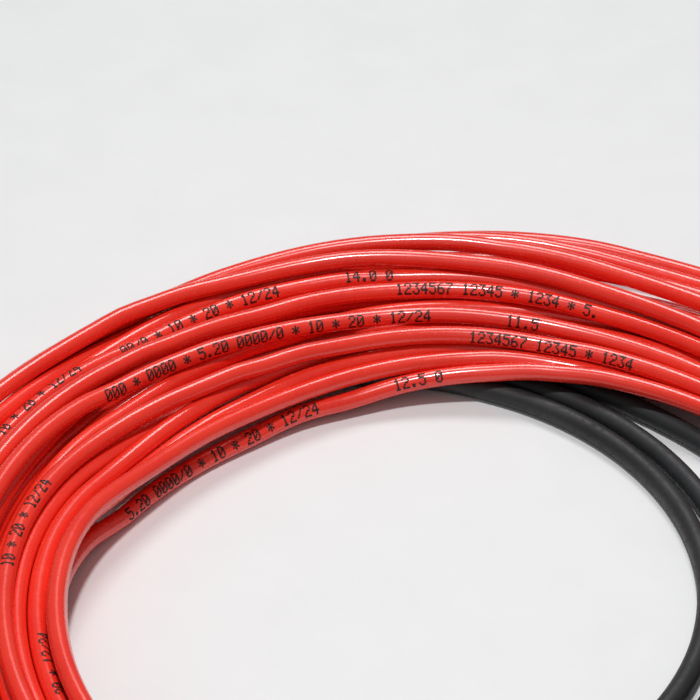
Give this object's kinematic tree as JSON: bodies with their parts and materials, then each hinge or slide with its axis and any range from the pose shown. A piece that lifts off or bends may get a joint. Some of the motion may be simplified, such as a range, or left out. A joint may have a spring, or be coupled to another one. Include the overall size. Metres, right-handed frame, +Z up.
{
  "type": "coil of underfloor heating cable",
  "caption": "Loose round coil of red electric floor-heating cable with a black cold lead coiled under its bore, a joint sleeve, an end seal and ties.",
  "frame": {"origin": "centre of the coil on the floor it lies on", "axes": "+Z up, out of the floor; +Y towards the far side of the coil as the picture sees it; +X to the picture's right"},
  "size_m": [0.35, 0.35, 0.0295],
  "materials": {
    "heating_sheath": "satin red PVC",
    "lead_sheath": "matte black PVC",
    "sleeve": "heat-shrink sleeve",
    "core_brown": "satin",
    "core_green_yellow": "satin",
    "core_blue": "satin",
    "tie_nylon": "natural nylon"
  },
  "bodies": {
    "root": {"heating_cable": "heating_sheath", "cold_lead": "lead_sheath", "cold_lead_tail": "lead_sheath", "core_brown": "core_brown", "core_green_yellow": "core_green_yellow", "core_blue": "core_blue", "joint_sleeve": "sleeve", "end_seal": "sleeve", "cable_tie_1": "tie_nylon", "cable_tie_2": "tie_nylon", "cable_tie_3": "tie_nylon"}
  },
  "joints": []
}
